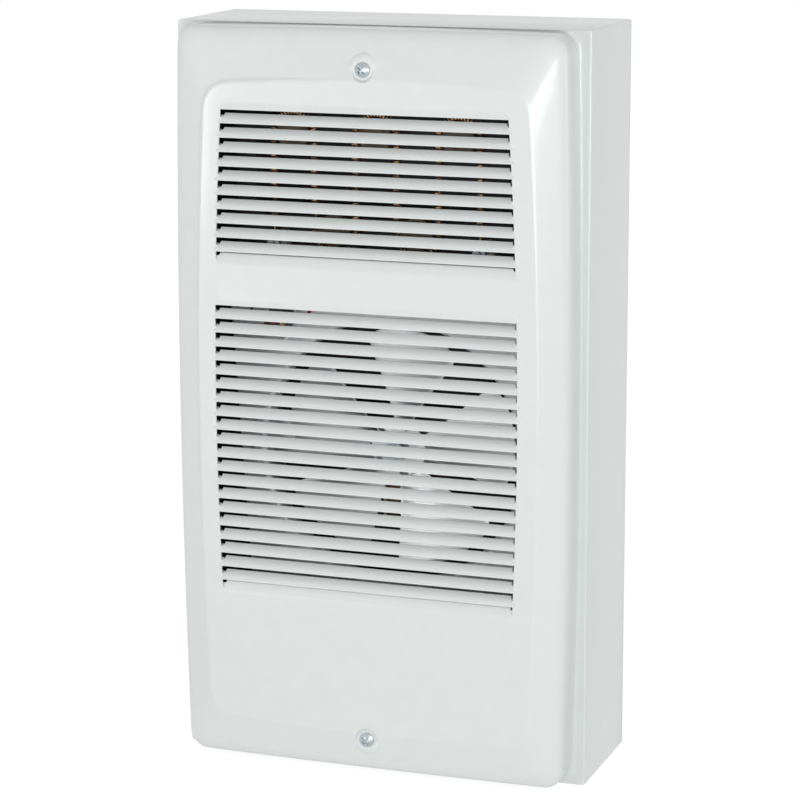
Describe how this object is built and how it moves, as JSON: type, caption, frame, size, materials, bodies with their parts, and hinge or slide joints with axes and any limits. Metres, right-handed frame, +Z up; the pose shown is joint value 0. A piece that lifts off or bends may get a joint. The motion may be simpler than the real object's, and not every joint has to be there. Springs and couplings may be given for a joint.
{
  "type": "bathroom wall fan heater",
  "caption": "Surface-mounted electric fan heater in a shallow sheet-metal can, with a louvred stamped cover, open wire element, fan motor and reset button.",
  "frame": {"origin": "centre of the can's back face, which lies on the wall", "axes": "+X to the right seen from the front, +Y into the wall, +Z up; the louvred front faces -Y"},
  "size_m": [0.289, 0.13, 0.507],
  "materials": {
    "white_paint": "smooth semi-gloss baked enamel, cool white",
    "galvanised_sheet": "galvanised sheet, satin",
    "black_steel": "heat-blackened steel, matt",
    "zinc_plate": "bright zinc plate",
    "fan_aluminium": "bright rolled aluminium",
    "brass": "plain brass, satin",
    "bronze": "sintered bronze, matt",
    "lamination_steel": "varnished lamination steel",
    "nylon": "natural nylon",
    "enamelled_copper": "enamelled winding wire",
    "nichrome_wire": "oxidised resistance wire, copper-brown",
    "mica": "pressed mica board, dark amber",
    "ceramic": "steatite ceramic, unglazed",
    "phenolic": "black phenolic moulding",
    "red_plastic": "red moulded button",
    "black_rubber": "black rubber",
    "black_insulation": "black lead insulation",
    "red_insulation": "red lead insulation",
    "green_screw": "green-dyed ground screw"
  },
  "bodies": {
    "heater": {"surface_can": "white_paint", "front_cover": "white_paint", "cover_screw_top": "zinc_plate", "cover_screw_bottom": "zinc_plate", "cover_bracket_top": "galvanised_sheet", "cover_bracket_bottom": "galvanised_sheet", "fan_deck": "galvanised_sheet", "deck_screw_1": "zinc_plate", "deck_screw_2": "zinc_plate", "deck_screw_3": "zinc_plate", "deck_screw_4": "zinc_plate", "divider_baffle": "galvanised_sheet", "stator_laminations": "lamination_steel", "stator_bobbin": "nylon", "stator_winding": "enamelled_copper", "bearing_bracket_front": "zinc_plate", "bearing_bracket_rear": "zinc_plate", "bearing_front": "bronze", "bearing_rear": "bronze", "motor_strap": "galvanised_sheet", "motor_spacer_left": "black_rubber", "motor_spacer_right": "black_rubber", "motor_tie_screw_left": "zinc_plate", "motor_tie_screw_right": "zinc_plate", "motor_nut_left": "zinc_plate", "motor_nut_right": "zinc_plate", "strap_screw_left": "zinc_plate", "strap_screw_right": "zinc_plate", "element_frame": "black_steel", "coil_former_1": "mica", "coil_former_2": "mica", "coil_former_3": "mica", "coil_former_4": "mica", "coil_former_5": "mica", "heating_coil": "nichrome_wire", "terminal_bushing_left": "ceramic", "terminal_bushing_right": "ceramic", "terminal_stud_left": "zinc_plate", "terminal_stud_right": "zinc_plate", "frame_screw_left": "zinc_plate", "frame_screw_right": "zinc_plate", "limit_cup": "fan_aluminium", "limit_body": "phenolic", "limit_tab_left": "brass", "limit_tab_right": "brass", "lead_line": "black_insulation", "lead_element": "black_insulation", "lead_limit": "red_insulation", "lead_motor_left": "black_insulation", "lead_motor_right": "black_insulation", "lead_grommet_left": "black_rubber", "lead_grommet_right": "black_rubber", "terminal_block": "phenolic", "ground_screw": "green_screw"},
    "fan": {"fan_blades": "fan_aluminium", "fan_hub": "brass", "hub_set_screw": "zinc_plate", "motor_shaft": "zinc_plate", "motor_rotor": "fan_aluminium"},
    "reset_button": {"reset_button": "red_plastic"}
  },
  "joints": [
    {"name": "fan_spin", "type": "hinge", "parent": "heater", "child": "fan", "pos_m": [0, -0.061, -0.0385], "axis": [0, 1, 0], "continuous": true},
    {"name": "reset_press", "type": "slide", "parent": "heater", "child": "reset_button", "axis": [0, 1, 0], "range_m": [0, 0.0015], "stiffness_N_per_m": 400}
  ]
}
